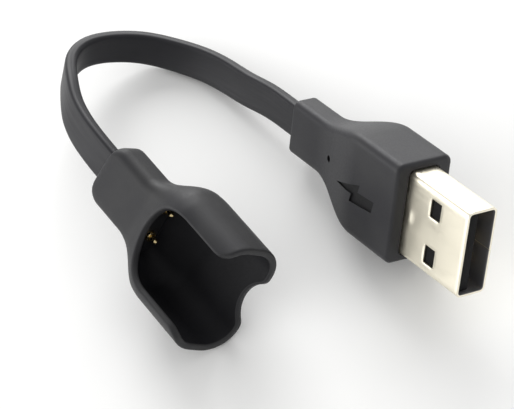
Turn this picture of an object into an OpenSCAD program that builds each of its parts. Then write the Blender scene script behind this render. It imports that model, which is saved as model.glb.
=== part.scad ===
// Short charging lead: a moulded USB-A plug, a flat cable on its edge and a cradle with sprung pins.
// The plug and the cradle are each drawn in a frame of their own: x towards the upper narrow side,
// y towards the marked or open wide face, z towards the plug's tip or the cradle's mouth.

/* [USB plug] */
// Width of the metal shell
shell_w = 12.0; // [10:0.1:15]
// Thickness of the metal shell
shell_t = 4.5; // [3.6:0.1:6]
// Length of shell that stands out of the boot
shell_out = 11.8; // [9.5:0.1:15]
// Length of shell held inside the boot
shell_in = 7.5; // [7:0.1:9]
// Sheet thickness of the shells
sheet = 0.3; // [0.2:0.05:0.4]
// Outside corner radius of the shell
shell_r = 0.7; // [0.4:0.1:1]
// Width of a latch window across the plug
window_w = 2.5; // [1.5:0.1:3]
// Length of a latch window along the plug
window_l = 2.0; // [1:0.1:3]
// Distance from the tip to the near edge of a latch window
window_setback = 5.16; // [4:0.01:6.5]
// Distance between the centres of the two windows
window_pitch = 6.5; // [5:0.1:7]
// Thickness of the insulating tongue
tongue_t = 1.84; // [1.3:0.02:2.2]
// Distance from the shell's tip back to the tongue's tip
tongue_setback = 0.6; // [0.3:0.1:1.5]
// Width of one contact
contact_w = 1.0; // [0.6:0.1:1.2]
// Thickness of one contact
contact_t = 0.25; // [0.15:0.05:0.3]

/* [USB boot] */
// Length of the boot
boot_l = 26.0; // [24:0.5:34]
// How far the boot stands past the shell on each narrow side
boot_lip_w = 1.1; // [0.9:0.1:2]
// How far the boot stands past the shell on each wide side
boot_lip_t = 2.05; // [1:0.05:3]
// Corner radius of the boot's section
boot_r = 1.4; // [0.5:0.1:2.5]
// Boot wall around the cable on each narrow side
neck_lip_w = 1.5; // [1:0.1:2]
// Boot wall around the cable on each wide side
neck_lip_t = 1.15; // [1:0.05:2]
// Radius of the small vent hole in the marked face
vent_r = 0.45; // [0.2:0.05:0.6]
// Depth of the engraved mark
mark_depth = 0.25; // [0.1:0.05:0.4]

/* [Flat cable] */
// Width of the flat cable
cable_w = 4.8; // [4:0.1:6]
// Thickness of the flat cable
cable_t = 1.7; // [1.4:0.1:2.2]
// Edge radius of the flat cable
cable_r = 0.6; // [0.3:0.05:0.65]
// Radius of one insulated wire
wire_r = 0.5; // [0.3:0.05:0.6]
// Radius of a wire's bare strands
strand_r = 0.25; // [0.1:0.05:0.28]

/* [Cradle] */
// Length of the cradle from cable to mouth
cradle_l = 27.5; // [25:0.5:36]
// Width of the pocket
pocket_w = 15.2; // [13:0.1:18]
// Thickness of the pocket
pocket_t = 8.1; // [6.5:0.1:9]
// Wall around the pocket
cup_wall = 1.0; // [1:0.05:1.6]
// Corner radius of the cup's section
cup_r = 4.2; // [3:0.1:5]
// Distance from the cable end to the pocket's floor
seat_z = 11.0; // [11:0.5:14]
// How much sooner the mouth ends at the open front than at the back
mouth_slant = 1.6; // [0:0.1:2.5]
// Half width of the open front
front_gap = 6.2; // [4.5:0.1:6.2]
// Width of the finger notch
notch_w = 6.8; // [4:0.1:8]
// Depth of the finger notch
notch_d = 1.9; // [1:0.1:3]
// Width of the neck block
cradle_neck_w = 9.2; // [9:0.1:12]
// Thickness of the neck block
cradle_neck_t = 4.8; // [4.8:0.1:6.5]

/* [Sprung pins] */
// Distance between the two pins
pin_pitch = 4.6; // [3.6:0.1:5.2]
// Outside radius of a pin's barrel
barrel_r = 0.8; // [0.75:0.05:1]
// Gap around a barrel where it leaves the contact block
relief_w = 0.06; // [0.03:0.01:0.15]
// Depth of that gap
relief_l = 0.2; // [0.1:0.05:0.4]
// Radius of the bore in a barrel
bore_r = 0.6; // [0.55:0.01:0.65]
// Radial running clearance of a plunger
run_gap = 0.05; // [0.03:0.01:0.08]
// Radius of a plunger's tip
tip_r = 0.42; // [0.3:0.01:0.48]
// How far a plunger stands out of its barrel
tip_out = 1.2; // [1:0.1:1.6]
// Wire diameter of a pin's spring
spring_wire = 0.12; // [0.08:0.01:0.16]

/* [Hidden] */
$fn = 48;
over = 1;              // overshoot of a cutting tool past the face it cuts

// How the lead lies on a flat surface: the point where the cable leaves the boot, where it enters
// the cradle counted from there, and each end's roll about its own axis, tilt and heading
cable_out = [11.7, 13.9, 5];
cradle_at = cable_out + [-23.8, 9.6, 5.54];
plug_turn = [56.5, -10, 3.5];
cradle_turn = [38, 6.0, -0.8];

// Plug
boot_w = shell_w + 2*boot_lip_w;
boot_t = shell_t + 2*boot_lip_t;
neck_w = cable_w + 2*neck_lip_w;
neck_t = cable_t + 2*neck_lip_t;
neck_l = 6;            // straight length of the boot's neck
flare_l = 11.5;        // length over which the boot widens
sleeve_gap = 0.05;     // clearance between the two shells
sleeve_w = shell_w + 2*(sheet + sleeve_gap);
sleeve_t = shell_t + 2*(sheet + sleeve_gap);
sleeve_front = -4;
sleeve_back = -shell_in - 3;
crimp_wall = 0.4;
crimp_l = 4;
jacket_end = -boot_l + neck_l;         // where the cable ends inside the boot
crimp_front = jacket_end - 0.5;
tongue_rear = 2.4;     // front of the block that fills the shell behind the tongue
tongue_gap = 0.15;     // clearance beside the tongue
tongue_y = shell_t/2 - sheet - tongue_t;
contact_proud = 0.05;
contact_x = [-3.5, -1, 1, 3.5];
tail_end = -shell_in - 1.7;            // rear end of the contact tails
wire_x = 0.9;          // each wire's distance from the middle of the cable
solder_r = 0.55;

// Cradle
cup_w = pocket_w + 2*cup_wall;
cup_t = pocket_t + 2*cup_wall;
block_w = cradle_neck_w - 2.4;         // inner block, inside the neck's walls
block_t = cradle_neck_t - 2.2;
block_l = 4.6;
board_t = 0.8;
block_back = seat_z - block_l;
board_back = block_back - board_t;
room_back = 2;         // back of the hollow that holds the inner pieces
cable_in = 3.5;        // length of cable inside the cradle
lip_l = 0.4;
barrel_front = seat_z + 0.5;
bore_back = block_back + 0.4;
bore_front = barrel_front - lip_l;
tail_r = 0.3;
tail_back = board_back - 0.5;
head_l = 1;
head_front = bore_front - run_gap;
spring_turns = 7;

// Route of the flat cable, counted from where it leaves the boot, laid by hand
route = [[-0.5, 7.5, -1], [-1.5, 12, -2], [-2, 16.5, -2.5], [-3, 21, -2.8], [-5, 25.5, -2.8], [-7.5, 29.5, -2],
         [-11, 32, -0.5], [-15, 32.5, 2], [-18.5, 30.5, 3.5], [-20.5, 26, 5], [-22.5, 22, 5.5],
         [-23.5, 17, 6]];
// Direction of the cable's upper edge at even steps along the route
edge_up = [[0.62, 0.19, 0.77], [0.65, 0.22, 0.74], [0.5, 0.18, 0.86], [0.44, 0, 0.9],
           [0.48, -0.05, 0.88], [0.63, -0.07, 0.78]];
route_steps = 2;       // rings drawn for each point of the route

// ---- helpers ----
function ease(t) = let (u = min(max(t, 0), 1)) u*u*(3 - 2*u);
function unit(v) = v/norm(v);
function turn_z(v, a) = [v.x*cos(a) - v.y*sin(a), v.x*sin(a) + v.y*cos(a), v.z];
function turn_x(v, a) = [v.x, v.y*cos(a) - v.z*sin(a), v.y*sin(a) + v.z*cos(a)];
function placed(v, turn) = turn_z(turn_x(turn_z(v, turn[0]), 90 + turn[1]), turn[2]);
plug_at = cable_out + placed([0, 0, boot_l], plug_turn);
function on_plug(z) = plug_at + placed([0, 0, z], plug_turn);
function on_cradle(z) = cradle_at + placed([0, 0, z], cradle_turn);

module place(at, turn) {
    translate(at) rotate([0, 0, turn[2]]) rotate([90 + turn[1], 0, 0]) rotate([0, 0, turn[0]]) children();
}

module rounded_rect(w, t, r) {
    for (x = [-1, 1], y = [-1, 1]) translate([x*(w/2 - r), y*(t/2 - r)]) circle(r);
    square([w, t - 2*r], center = true);
    square([w - 2*r, t], center = true);
}

module slab(w, t, z0, z1) {
    translate([-w/2, -t/2, z0]) cube([w, t, z1 - z0]);
}

// Round bar from p to q, cut square to the z axis at both ends
module slant_bar(p, q, r) {
    d = q - p;
    intersection() {
        translate(p - d) rotate([0, acos(d.z/norm(d)), atan2(d.y, d.x)]) cylinder(h = 3*norm(d), r = r);
        translate([-50, -50, p.z]) cube([100, 100, d.z]);
    }
}

// Outline that goes from half width a to half width b between z1 and z2
function flare(a, b, z0, z1, z2, z3, inset = 0, steps = 10) = let (
    side = [[a - inset, z0], for (i = [0:steps]) let (z = z1 + (z2 - z1)*i/steps)
            if (z > z0) [a + (b - a)*ease(i/steps) - inset, z], [b - inset, z3]])
    concat(side, [for (i = [len(side) - 1:-1:0]) [-side[i].x, side[i].y]]);

// Solid with one outline seen from the wide side and another seen from the narrow side
module two_outlines(wide, narrow) {
    intersection() {
        rotate([90, 0, 0]) linear_extrude(60, center = true) polygon(wide);
        rotate([90, 0, 90]) linear_extrude(60, center = true) polygon(narrow);
    }
}

// Closed skin over a row of rings
module skin(rings) {
    n = len(rings[0]);
    m = len(rings);
    polyhedron([for (r = rings) each r],
        concat([[for (i = [0:n - 1]) i]], [[for (i = [n - 1:-1:0]) (m - 1)*n + i]],
            [for (k = [0:m - 2], i = [0:n - 1]) let (j = (i + 1)%n)
             [k*n + i, (k + 1)*n + i, (k + 1)*n + j, k*n + j]]));
}

// ---- flat cable ----
function cable_section() = [for (c = [[1, 1, 0], [-1, 1, 90], [-1, -1, 180], [1, -1, 270]], k = [0:2])
    [c[0]*(cable_w/2 - cable_r) + cable_r*cos(c[2] + 45*k),
     c[1]*(cable_t/2 - cable_r) + cable_r*sin(c[2] + 45*k)]];
module cable_slot(z0, z1) {
    translate([0, 0, z0]) linear_extrude(z1 - z0) polygon(cable_section());
}

// Uniform cubic spline: weights of four neighbours, for a place and for a direction
function near4(p, i, t) = ((1 - t)^3*p[i - 1] + (3*t^3 - 6*t^2 + 4)*p[i] + (-3*t^3 + 3*t^2 + 3*t + 1)*p[i + 1]
    + t^3*p[i + 2])/6;
function slope4(p, i, t) = (-(1 - t)^2*p[i - 1] + (3*t^2 - 4*t)*p[i] + (-3*t^2 + 2*t + 1)*p[i + 1]
    + t^2*p[i + 2])/2;
stations = concat([for (z = [2, 0, -2, -4, -6, -8.5]) on_plug(jacket_end + z)],
    [for (p = route) cable_out + p],
    [for (z = [-2.5, 0, cable_in/2, cable_in, 1.5*cable_in]) on_cradle(z)]);
ups = concat([for (i = [0:2]) placed([1, 0, 0], plug_turn)], edge_up,
    [for (i = [0:2]) placed([1, 0, 0], cradle_turn)]);
spans = len(stations) - 3;
function up_at(s) = let (f = min(max((s - 3)/(spans - 5), 0), 1)*(len(ups) - 3),
    i = min(floor(f), len(ups) - 4)) near4(ups, i + 1, f - i);
function cable_ring(k) = let (
    i = min(floor(k/route_steps), spans - 1), t = k/route_steps - i,
    c = near4(stations, i + 1, t), along = unit(slope4(stations, i + 1, t)),
    u = up_at(i + t), x = unit(u - (u*along)*along), y = cross(along, x))
    [for (p = cable_section()) c + p.x*x + p.y*y];

module cable_jacket() {
    color("#2d2e33") skin([for (k = [0:spans*route_steps]) cable_ring(k)]);
}

// ---- USB plug ----
module shell_envelope() {
    translate([0, 0, -shell_in]) linear_extrude(shell_in + shell_out) rounded_rect(shell_w, shell_t, shell_r);
}

module usb_shell() {
    color("#d9d2c4") difference() {
        shell_envelope();
        translate([0, 0, -shell_in - over]) linear_extrude(shell_in + shell_out + 2*over)
            rounded_rect(shell_w - 2*sheet, shell_t - 2*sheet, shell_r - sheet);
        for (x = [-1, 1])
            translate([x*window_pitch/2 - window_w/2, -shell_t, shell_out - window_setback - window_l])
                cube([window_w, 2*shell_t, window_l]);
    }
}

module contact(i, length) {
    translate([contact_x[i] - contact_w/2, tongue_y - contact_proud, tail_end])
        cube([contact_w, contact_t, length]);
}
power_l = shell_out - tongue_setback - 0.9 - tail_end;
data_l = power_l - 1;

module usb_insulator() {
    color("#1d1d1f") difference() {
        union() {
            slab(shell_w - 2*sheet, shell_t - 2*sheet, -shell_in, tongue_rear);
            translate([-shell_w/2 + sheet + tongue_gap, tongue_y, -shell_in])
                cube([shell_w - 2*(sheet + tongue_gap), tongue_t, shell_in + shell_out - tongue_setback]);
        }
        // the sharp edges of the block are cut back to the shell's inner corners
        for (x = [-1, 1], y = [-1, 1])
            translate([x*(shell_w/2 - sheet), y*(shell_t/2 - sheet), -shell_in - over])
                rotate([0, 0, 45]) slab(0.8, 0.8, 0, shell_in + shell_out + 2*over);
        contact(0, power_l);
        contact(1, data_l);
        contact(2, data_l);
        contact(3, power_l);
    }
}

module usb_contact_power() { color("#c9a24a") contact(3, power_l); }
module usb_contact_data_plus() { color("#c9a24a") contact(2, data_l); }
module usb_contact_data_minus() { color("#c9a24a") contact(1, data_l); }
module usb_contact_ground() { color("#c9a24a") contact(0, power_l); }

// Sloping strap that joins the rear shell to its crimp
module strap(grow = 0) {
    rotate([90, 0, 90]) linear_extrude(3 + 2*grow, center = true)
        polygon([[-sleeve_t/2, sleeve_back], [-sleeve_t/2 + sheet, sleeve_back],
                 [-cable_t/2 - crimp_wall + sheet, crimp_front], [-cable_t/2 - crimp_wall, crimp_front]]);
}
module crimp_envelope() {
    slab(cable_w + 2*crimp_wall, cable_t + 2*crimp_wall, crimp_front - crimp_l, crimp_front);
}

module usb_rear_shell() {
    color("#a9a9ab") {
        difference() {
            slab(sleeve_w, sleeve_t, sleeve_back, sleeve_front);
            slab(shell_w + 2*sleeve_gap, shell_t + 2*sleeve_gap, sleeve_back - over, sleeve_front + over);
        }
        strap();
        difference() {
            crimp_envelope();
            cable_slot(crimp_front - crimp_l - over, crimp_front + over);
        }
    }
}

module plug_wire(side) {
    slant_bar([side*wire_x, 0, jacket_end], [side*contact_x[3], tongue_y + contact_t/2, tail_end - 0.4], wire_r);
    translate([side*contact_x[3], tongue_y - contact_proud + contact_t/2, tail_end - 0.4])
        cylinder(h = 0.4, r = strand_r);
}
module usb_wire_power() { color("#b3261e") plug_wire(1); }
module usb_wire_ground() { color("#222222") plug_wire(-1); }

module usb_solder() {
    color("#b9bcc0") for (side = [-1, 1]) difference() {
        translate([side*contact_x[3], tongue_y - contact_proud + contact_t/2, tail_end]) sphere(solder_r, $fn = 24);
        contact(side < 0 ? 0 : 3, power_l);
        plug_wire(side);
    }
}

premould_gap = 0.1;
module premould_envelope() {
    inner_w = shell_w/2 - 0.05;
    inner_t = shell_t/2 - 0.05;
    two_outlines([[inner_w, -shell_in], [inner_w, sleeve_back], [cable_w/2 + 0.2, jacket_end],
                  [-cable_w/2 - 0.2, jacket_end], [-inner_w, sleeve_back], [-inner_w, -shell_in]],
                 [[inner_t, -shell_in], [inner_t, sleeve_back], [cable_t/2 + crimp_wall, jacket_end],
                  [-cable_t/2 - crimp_wall + sheet + premould_gap, jacket_end],
                  [-sleeve_t/2 + sheet + premould_gap, sleeve_back], [-inner_t, -shell_in]]);
}
module usb_premould() {
    color("#e8e6df") difference() {
        premould_envelope();
        for (i = [0:3]) contact(i, power_l);
        for (side = [-1, 1]) {
            plug_wire(side);
            translate([side*contact_x[3], tongue_y - contact_proud + contact_t/2, tail_end])
                sphere(solder_r, $fn = 24);
        }
    }
}

// Generic mark: a small lightning bolt
module mark() {
    translate([-0.8, 0, -8.3]) rotate([90, 0, 0]) translate([0, 0, -boot_t]) linear_extrude(boot_t)
        rotate([0, 0, 13]) polygon([[0.1, 4.1], [1.8, 4.1], [0.75, 0.75], [1.95, 0.75], [-1.5, -4.3], [-0.3, -0.35],
                 [-1.5, -0.35]]);
}

module boot_envelope(inset = 0) {
    intersection() {
        two_outlines(flare(neck_w/2, boot_w/2, -boot_l, -boot_l + neck_l, -boot_l + neck_l + flare_l, 0, inset),
                     flare(neck_t/2, boot_t/2, -boot_l, -boot_l + neck_l, -boot_l + neck_l + flare_l, 0, inset));
        translate([0, 0, -boot_l - over]) linear_extrude(boot_l + 2*over)
            rounded_rect(boot_w - 2*inset, boot_t - 2*inset, boot_r);
    }
}

module usb_boot() {
    color("#4a4b4f") difference() {
        boot_envelope();
        intersection() {
            mark();
            difference() {
                translate([-boot_w, 0, -boot_l]) cube([2*boot_w, boot_t, boot_l]);
                boot_envelope(mark_depth);
            }
        }
        translate([0, neck_t/2 - 0.5, -boot_l + neck_l + 3.7]) rotate([-90, 0, 0]) cylinder(h = boot_t, r = vent_r);
        shell_envelope();
        slab(sleeve_w, sleeve_t, sleeve_back, sleeve_front);
        premould_envelope();
        strap();
        crimp_envelope();
        cable_slot(-boot_l - over, jacket_end);
    }
}

// ---- cradle ----
cup_start = 7.6;       // where the neck begins to widen
cup_full = 15.5;         // where the cup has its full width
cup_thick_start = 9.2;
cup_thick_full = 17.2;

module cup_solid(inset, z0, z1) {
    intersection() {
        two_outlines(
            flare(cradle_neck_w/2, cup_w/2, 0, cup_start, cup_full, z1, inset),
            flare(cradle_neck_t/2, cup_t/2, 0, cup_thick_start, cup_thick_full, z1, inset));
        translate([0, 0, z0]) linear_extrude(z1 - z0)
            rounded_rect(cup_w - 2*inset, cup_t - 2*inset, cup_r - inset);
    }
}

// Rounds the neck's two end corners
module neck_end() {
    r = 2.2;
    half = cradle_neck_w/2;
    rotate([90, 0, 0]) linear_extrude(2*cup_t, center = true) {
        for (x = [-1, 1]) translate([x*(half - r), r]) circle(r);
        translate([r - half, 0]) square([2*(half - r), r]);
        translate([-cup_w, r]) square([2*cup_w, cradle_l]);
    }
}

module front_opening() {
    apex = seat_z + 0.7;
    front_l = cradle_l - mouth_slant;
    round_r = 1.5;
    rotate([-90, 0, 0]) linear_extrude(cup_t) mirror([0, 1]) {
        translate([0, apex + front_gap]) circle(front_gap);
        translate([-front_gap, apex + front_gap]) square([2*front_gap, cradle_l]);
        for (x = [-1, 1]) difference() {
            translate([x*(front_gap + round_r/2), front_l - round_r/2 + 0.5])
                square([round_r, round_r + 1], center = true);
            translate([x*(front_gap + round_r), front_l - round_r]) circle(round_r);
        }
    }
}

module finger_notch() {
    r = (notch_w^2/4 + notch_d^2)/(2*notch_d);
    translate([0, 0, cradle_l - notch_d + r]) rotate([90, 0, 0]) cylinder(h = cup_t, r = r);
}

// Cuts the mouth back towards the open front
module mouth_cut() {
    rotate([90, 0, 90]) linear_extrude(2*cup_w, center = true)
        polygon([[-cup_t, cradle_l + mouth_slant/2 - over], [cup_t, cradle_l - 1.5*mouth_slant - over],
                 [cup_t, cradle_l + mouth_slant], [-cup_t, cradle_l + mouth_slant]]);
}

module cradle_shell() {
    color("#55565a") difference() {
        intersection() {
            cup_solid(0, 0, cradle_l);
            neck_end();
        }
        cup_solid(cup_wall, seat_z, cradle_l + over);
        front_opening();
        finger_notch();
        mouth_cut();
        slab(block_w, block_t, room_back, seat_z + over/2);
        cable_slot(-over, room_back + over/2);
    }
}

module cradle_wire(side) {
    slant_bar([side*wire_x, 0, cable_in], [side*pin_pitch/2, 0, tail_back - 0.4], wire_r);
    translate([side*pin_pitch/2, 0, tail_back - 0.4]) cylinder(h = 0.4, r = strand_r);
}
module cradle_wire_power() { color("#b3261e") cradle_wire(1); }
module cradle_wire_ground() { color("#222222") cradle_wire(-1); }

module solder_ring(side, hole) {
    translate([side*pin_pitch/2, 0, tail_back]) difference() {
        cylinder(h = board_back - tail_back, r1 = tail_r + 0.12, r2 = solder_r + 0.1);
        if (hole) translate([0, 0, -over]) cylinder(h = 3*over, r = tail_r);
    }
}
module cradle_solder() { color("#b9bcc0") for (side = [-1, 1]) solder_ring(side, true); }

module cradle_premould() {
    color("#e8e6df") difference() {
        slab(block_w, block_t, room_back, board_back);
        cable_slot(room_back - over, cable_in);
        for (side = [-1, 1]) {
            cradle_wire(side);
            solder_ring(side, false);
        }
    }
}

module contact_board() {
    color("#2f6b3c") difference() {
        slab(block_w, block_t, board_back, block_back);
        for (side = [-1, 1])
            translate([side*pin_pitch/2, 0, board_back - over]) cylinder(h = board_t + 2*over, r = tail_r);
    }
}

module contact_block() {
    color("#1b1b1d") difference() {
        slab(block_w, block_t, block_back, seat_z);
        for (side = [-1, 1])
            translate([side*pin_pitch/2, 0, 0]) {
                translate([0, 0, block_back - over]) cylinder(h = block_l + 2*over, r = barrel_r);
                translate([0, 0, seat_z - relief_l]) cylinder(h = relief_l + over, r = barrel_r + relief_w);
            }
    }
}

module pin_barrel() {
    difference() {
        union() {
            translate([0, 0, block_back]) cylinder(h = barrel_front - block_back, r = barrel_r);
            translate([0, 0, tail_back]) cylinder(h = block_back - tail_back, r = tail_r);
        }
        translate([0, 0, bore_back]) cylinder(h = bore_front - bore_back, r = bore_r);
        translate([0, 0, bore_front - over/2]) cylinder(h = lip_l + over, r = tip_r + run_gap);
    }
}

module pin_plunger() {
    translate([0, 0, head_front - head_l]) cylinder(h = head_l, r = bore_r - run_gap);
    translate([0, 0, head_front - over/2]) cylinder(h = barrel_front + tip_out - tip_r - head_front + over/2, r = tip_r);
    translate([0, 0, barrel_front + tip_out - tip_r]) sphere(tip_r);
}

module pin_spring() {
    coil_r = bore_r - run_gap - spring_wire/2 - 0.03;
    length = head_front - head_l - bore_back - spring_wire - 0.04;
    steps = 12;
    skin([for (k = [0:spring_turns*steps])
        let (a = 360*k/steps, z = bore_back + 0.02 + spring_wire/2 + length*k/(spring_turns*steps))
        [for (i = [0:4]) let (q = coil_r + spring_wire/2*cos(72*i))
         [q*cos(a), q*sin(a), z + spring_wire/2*sin(72*i)]]]);
}

module at_pin(side) { translate([side*pin_pitch/2, 0, 0]) children(); }
module pin_barrel_power() { color("#c9a24a") at_pin(1) pin_barrel(); }
module pin_barrel_ground() { color("#c9a24a") at_pin(-1) pin_barrel(); }
module pin_plunger_power() { color("#e3c878") at_pin(1) pin_plunger(); }
module pin_plunger_ground() { color("#e3c878") at_pin(-1) pin_plunger(); }
module pin_spring_power() { color("#c0c0c4") at_pin(1) pin_spring(); }
module pin_spring_ground() { color("#c0c0c4") at_pin(-1) pin_spring(); }

// ---- assembly ----
module plug_side() { place(plug_at, plug_turn) children(); }
module cradle_side() { place(cradle_at, cradle_turn) children(); }

plug_side() usb_shell();
plug_side() usb_insulator();
plug_side() usb_contact_power();
plug_side() usb_contact_data_minus();
plug_side() usb_contact_data_plus();
plug_side() usb_contact_ground();
plug_side() usb_rear_shell();
plug_side() usb_solder();
plug_side() usb_wire_power();
plug_side() usb_wire_ground();
plug_side() usb_premould();
plug_side() usb_boot();
cable_jacket();
cradle_side() cradle_shell();
cradle_side() cradle_premould();
cradle_side() cradle_wire_power();
cradle_side() cradle_wire_ground();
cradle_side() cradle_solder();
cradle_side() contact_board();
cradle_side() contact_block();
cradle_side() pin_barrel_power();
cradle_side() pin_barrel_ground();
cradle_side() pin_plunger_power();
cradle_side() pin_plunger_ground();
cradle_side() pin_spring_power();
cradle_side() pin_spring_ground();
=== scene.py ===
"""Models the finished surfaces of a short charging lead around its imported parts.

The plug and the cradle are each modelled in millimetres in a frame of their own: x towards the upper narrow side,
y towards the marked or open wide face, z towards the plug's tip or the cradle's mouth.
"""

import math
from types import SimpleNamespace

import bmesh
import bpy
from mathutils import Matrix, Vector


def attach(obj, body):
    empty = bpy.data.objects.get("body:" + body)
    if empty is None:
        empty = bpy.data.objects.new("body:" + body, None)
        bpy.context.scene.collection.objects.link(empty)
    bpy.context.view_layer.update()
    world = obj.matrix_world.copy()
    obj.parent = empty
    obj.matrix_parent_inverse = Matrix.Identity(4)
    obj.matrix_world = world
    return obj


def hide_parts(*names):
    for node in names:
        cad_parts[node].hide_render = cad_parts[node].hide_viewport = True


bl_info = {
    "name": "Charging Lead",
    "version": (1, 0, 0),
    "blender": (4, 5, 0),
    "location": "View3D > Sidebar > Lead",
    "description": "Models a short charging lead with a plug, a flat cable and a pocket cradle",
    "category": "Add Mesh",
}

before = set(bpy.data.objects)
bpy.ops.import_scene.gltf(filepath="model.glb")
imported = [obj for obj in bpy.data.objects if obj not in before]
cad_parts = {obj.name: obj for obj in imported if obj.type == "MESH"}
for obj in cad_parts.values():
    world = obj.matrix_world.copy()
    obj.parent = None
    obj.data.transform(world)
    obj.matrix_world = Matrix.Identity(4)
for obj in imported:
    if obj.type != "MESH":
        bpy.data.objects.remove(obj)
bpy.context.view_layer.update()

# Where the ends lie, in millimetres and degrees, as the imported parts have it
CABLE_OUT = Vector((11.7, 13.9, 5.0))
CRADLE_AT = CABLE_OUT + Vector((-23.8, 9.6, 5.54))
PLUG_TURN = (56.5, -10.0, 3.5)
CRADLE_TURN = (38.0, 6.0, -0.8)
# The flat cable's route, counted from where it leaves the boot
ROUTE = (
    (-0.5, 7.5, -1), (-1.5, 12, -2), (-2, 16.5, -2.5), (-3, 21, -2.8), (-5, 25.5, -2.8), (-7.5, 29.5, -2),
    (-11, 32, -0.5), (-15, 32.5, 2), (-18.5, 30.5, 3.5), (-20.5, 26, 5), (-22.5, 22, 5.5), (-23.5, 17, 6),
)
# Direction of the cable's upper edge at even steps along the route
EDGE_UP = (
    (0.62, 0.19, 0.77), (0.65, 0.22, 0.74), (0.5, 0.18, 0.86), (0.44, 0, 0.9), (0.48, -0.05, 0.88),
    (0.63, -0.07, 0.78),
)
# Outline of the engraved bolt, where its middle is on the marked face, and its turn there
MARK = ((0.1, 4.1), (1.8, 4.1), (0.75, 0.75), (1.95, 0.75), (-1.5, -4.3), (-0.3, -0.35), (-1.5, -0.35))
MARK_AT = (-0.8, -8.3)
MARK_TURN = 13.0
# The camera: its lens, its place counted from the boot's front face, and which way it looks and stands
LENS = 166.06
SEEN_FROM = Vector((-58.57, -163.46, 245.5))
FORWARD = Vector((0.14345, 0.58484, -0.79831))
UPRIGHT = Vector((0.60976, 0.58314, 0.5368))
# Each lamp's place in metres, its size and its power
LAMPS = {"key": ((0.5, 0.75, 0.42), 0.7, 9.0), "side": ((-0.8, 0.55, 0.3), 0.8, 5.0)}
SKY = 0.66
# The gap left around what a moulded piece holds
FIT = 0.02


def linear(hex_colour):
    """The linear value of an sRGB colour written as six hex digits."""
    parts = [int(hex_colour[i : i + 2], 16) / 255 for i in (0, 2, 4)]
    return tuple(p / 12.92 if p <= 0.04045 else ((p + 0.055) / 1.055) ** 2.4 for p in parts)


def length(name, description, default):
    """A length in metres that the user can change."""
    return bpy.props.FloatProperty(name=name, description=description, default=default, unit="LENGTH", precision=5)


def tint(name, description, hex_colour):
    """A colour that the user can change."""
    return bpy.props.FloatVectorProperty(
        name=name, description=description, default=linear(hex_colour), subtype="COLOR", min=0, max=1
    )


class LeadPlugSizes(bpy.types.PropertyGroup):
    """Sizes of the plug and its boot."""

    shell_w: length("Shell width", "Outside width of the metal shell", 0.012)
    shell_t: length("Shell thickness", "Outside thickness of the metal shell", 0.0045)
    shell_out: length("Shell length", "Length of shell that stands out of the boot", 0.0118)
    shell_in: length("Shell root", "Length of shell held inside the boot", 0.0075)
    sheet: length("Sheet", "Thickness of the shell's sheet", 0.0003)
    shell_r: length("Shell corner", "Outside corner radius of the shell", 0.0007)
    window_w: length("Window width", "Width of a latch window", 0.0025)
    window_l: length("Window length", "Length of a latch window", 0.002)
    window_setback: length("Window setback", "From the tip to the near edge of a window", 0.00516)
    window_pitch: length("Window pitch", "Between the centres of the two windows", 0.0065)
    tongue_t: length("Tongue thickness", "Thickness of the insulating tongue", 0.00184)
    tongue_setback: length("Tongue setback", "From the shell's tip back to the tongue's tip", 0.0006)
    boot_l: length("Boot length", "Length of the boot", 0.026)
    boot_w: length("Boot width", "Width of the boot at its front", 0.0142)
    boot_t: length("Boot thickness", "Thickness of the boot at its front", 0.0086)
    neck_w: length("Neck width", "Width of the boot's neck", 0.0078)
    neck_t: length("Neck thickness", "Thickness of the boot's neck", 0.004)
    neck_l: length("Neck length", "Straight length of the boot's neck", 0.006)
    flare_l: length("Flare length", "Length over which the boot widens", 0.0115)
    vent_r: length("Vent radius", "Radius of the small hole in the marked face", 0.00045)
    mark_depth: length("Mark depth", "Depth of the engraved mark", 0.0003)


class LeadCableSizes(bpy.types.PropertyGroup):
    """Sizes of the flat cable."""

    width: length("Width", "Width of the flat cable", 0.0048)
    thickness: length("Thickness", "Thickness of the flat cable", 0.0017)
    edge_r: length("Edge radius", "Radius of the cable's edges", 0.0006)
    in_boot: length("In the boot", "Length of cable inside the boot", 0.006)
    in_cradle: length("In the cradle", "Length of cable inside the cradle", 0.0035)


class LeadCradleSizes(bpy.types.PropertyGroup):
    """Sizes of the cradle and its pins."""

    length: length("Length", "From the cable end to the mouth", 0.0275)
    cup_w: length("Cup width", "Outside width of the pocket", 0.0172)
    cup_t: length("Cup thickness", "Outside thickness of the pocket", 0.0101)
    cup_r: length("Cup corner", "Outside corner radius of the pocket", 0.0042)
    wall: length("Wall", "Wall around the pocket", 0.001)
    neck_w: length("Neck width", "Width of the neck block", 0.0092)
    neck_t: length("Neck thickness", "Thickness of the neck block", 0.0048)
    neck_r: length("Neck corner", "Corner radius of the neck block", 0.0015)
    end_r: length("End corner", "Radius of the neck's two end corners", 0.0022)
    seat_z: length("Seat", "From the cable end to the pocket's floor", 0.011)
    front_gap: length("Front gap", "Half the width of the open front", 0.0062)
    mouth_slant: length("Mouth slant", "How much sooner the mouth ends at the open front", 0.0016)
    notch_w: length("Notch width", "Width of the finger notch", 0.0068)
    notch_d: length("Notch depth", "Depth of the finger notch", 0.0019)
    rim_r: length("Rim radius", "Radius on the edges of the rim", 0.0003)
    pin_pitch: length("Pin pitch", "Between the two pins", 0.0046)
    barrel_r: length("Barrel radius", "Outside radius of a pin's barrel", 0.0008)
    bore_r: length("Bore radius", "Radius of the bore in a barrel", 0.0006)
    tip_r: length("Tip radius", "Radius of a plunger's tip", 0.00042)
    tip_out: length("Tip stand-out", "How far a plunger stands out of its barrel", 0.0012)


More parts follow.
